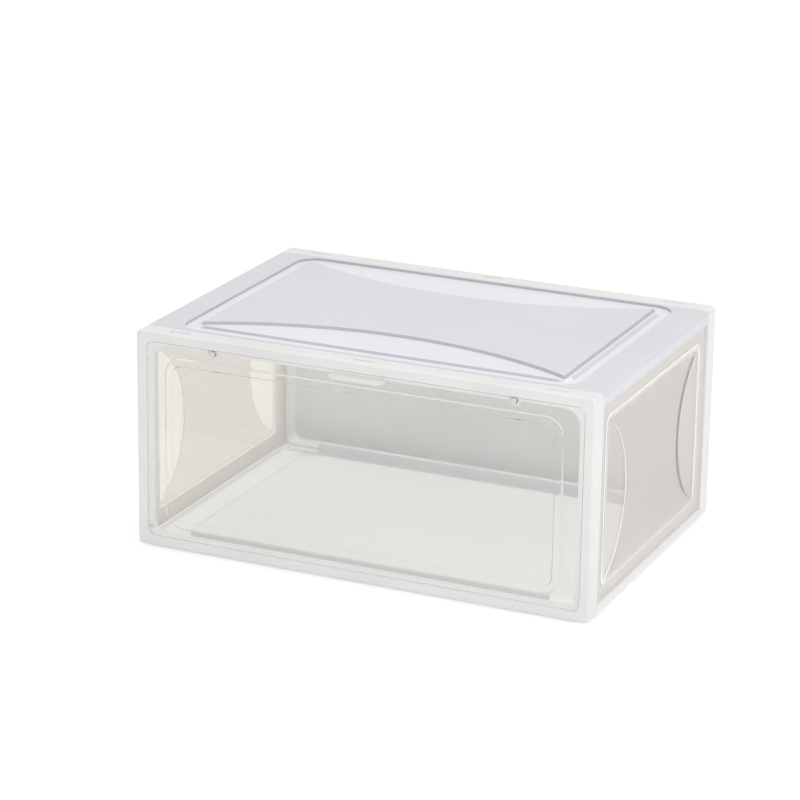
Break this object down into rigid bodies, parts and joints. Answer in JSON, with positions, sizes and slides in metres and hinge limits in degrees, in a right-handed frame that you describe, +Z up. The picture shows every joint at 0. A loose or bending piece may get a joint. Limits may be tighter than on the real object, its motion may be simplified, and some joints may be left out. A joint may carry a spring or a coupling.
{
  "type": "shoe box",
  "caption": "Stackable translucent shoe box with a clear drop-down front door on stub pins, two magnets, a pull tongue and snap-together frosted panels.",
  "frame": {"origin": "under the middle of the whole box, pull tongue included, on the surface it stands on", "axes": "+X to the right and along the length, +Y to the back, away from the door, +Z up"},
  "size_m": [0.36, 0.263, 0.1688],
  "materials": {
    "white_frame": "gloss moulded polypropylene",
    "milky_panel": "translucent moulded polypropylene, frosted field",
    "frosted_side": "clear moulded polystyrene, frosted field",
    "clear_door": "clear moulded polystyrene",
    "nickel_magnet": "nickel plate",
    "steel_stud": "turned steel"
  },
  "bodies": {
    "case": {"front_frame": "white_frame", "back_cover": "white_frame", "top_panel": "milky_panel", "bottom_panel": "milky_panel", "left_side_panel": "frosted_side", "right_side_panel": "frosted_side", "magnet_left": "nickel_magnet", "magnet_right": "nickel_magnet"},
    "door": {"door": "clear_door", "catch_stud_left": "steel_stud", "catch_stud_right": "steel_stud"}
  },
  "joints": [
    {"name": "door_hinge", "type": "hinge", "parent": "case", "child": "door", "pos_m": [0, -0.118, 0.0145], "axis": [1, 0, 0], "range_deg": [0, 90]}
  ]
}
